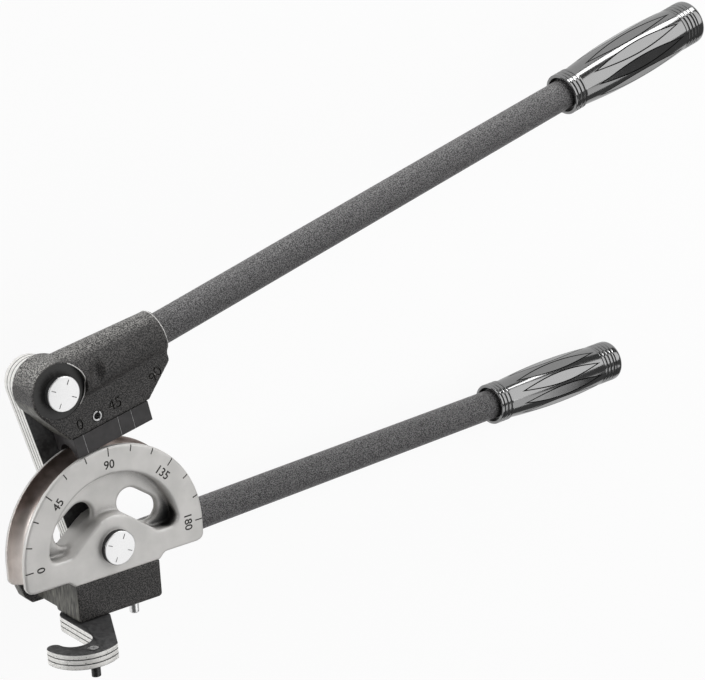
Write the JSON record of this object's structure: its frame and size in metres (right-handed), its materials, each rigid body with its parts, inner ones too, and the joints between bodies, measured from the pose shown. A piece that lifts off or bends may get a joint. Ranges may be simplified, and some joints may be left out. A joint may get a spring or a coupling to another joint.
{
  "type": "lever tube bender",
  "caption": "Lever tube bender: grooved half-round form with a degree scale on a fixed handle, a swinging link, a follower shoe on the moving handle and a latch hook for the tube.",
  "frame": {"origin": "on the centre pin's axis, at the bend form's middle plane", "axes": "+X from the scale's 0 mark to its 180 mark and along the handles, +Y to the 90 mark, +Z along the centre pin out of the scale's face"},
  "size_m": [0.5308, 0.2941, 0.103],
  "materials": {
    "form_metal": "satin, bright on the rims",
    "lower_casting": "black crinkle coat",
    "upper_casting": "black crinkle coat",
    "tube_coat": "charcoal fine-texture coat",
    "grip_plastic": "glossy black moulding",
    "pin_steel": "bright turned steel",
    "ring_steel": "dark spring steel",
    "screw_steel": "black oxide",
    "stop_steel": "bright turned steel",
    "shoe_metal": "smooth charcoal coat",
    "roll_steel": "bright spring steel",
    "peg_steel": "dark spring steel",
    "link_steel": "dark stamped faces, bare edges",
    "latch_steel": "dark stamped faces, bare edges"
  },
  "bodies": {
    "form_handle": {"bend_form": "form_metal", "form_handle_casting": "lower_casting", "form_handle_tube": "tube_coat", "form_handle_grip": "grip_plastic", "centre_pin": "pin_steel", "centre_pin_ring": "ring_steel", "form_screws": "screw_steel", "latch_screw": "screw_steel", "latch_stop_pin": "stop_steel"},
    "link": {"link_plate_1": "link_steel", "link_plate_2": "link_steel", "link_plate_3": "link_steel", "link_plate_4": "link_steel", "link_pin": "pin_steel", "link_pin_ring": "ring_steel"},
    "shoe_handle": {"shoe_handle_casting": "upper_casting", "bend_shoe": "shoe_metal", "shoe_roll_pin": "roll_steel", "shoe_handle_tube": "tube_coat", "shoe_handle_grip": "grip_plastic"},
    "latch": {"latch_plate_1": "latch_steel", "latch_plate_2": "latch_steel", "latch_plate_3": "latch_steel", "latch_peg": "peg_steel"}
  },
  "joints": [
    {"name": "link_swing", "type": "hinge", "parent": "form_handle", "child": "link", "pos_m": [0, 0, 0], "axis": [0, 0, 1], "range_deg": [-101.7, 78.3]},
    {"name": "shoe_handle_swing", "type": "hinge", "parent": "link", "child": "shoe_handle", "pos_m": [-0.02635, 0.09698, 0], "axis": [0, 0, 1], "range_deg": [0, 150]},
    {"name": "latch_swing", "type": "hinge", "parent": "form_handle", "child": "latch", "pos_m": [-0.021, 0, -0.0045], "axis": [0, -1, 0], "range_deg": [-65, 50]}
  ]
}
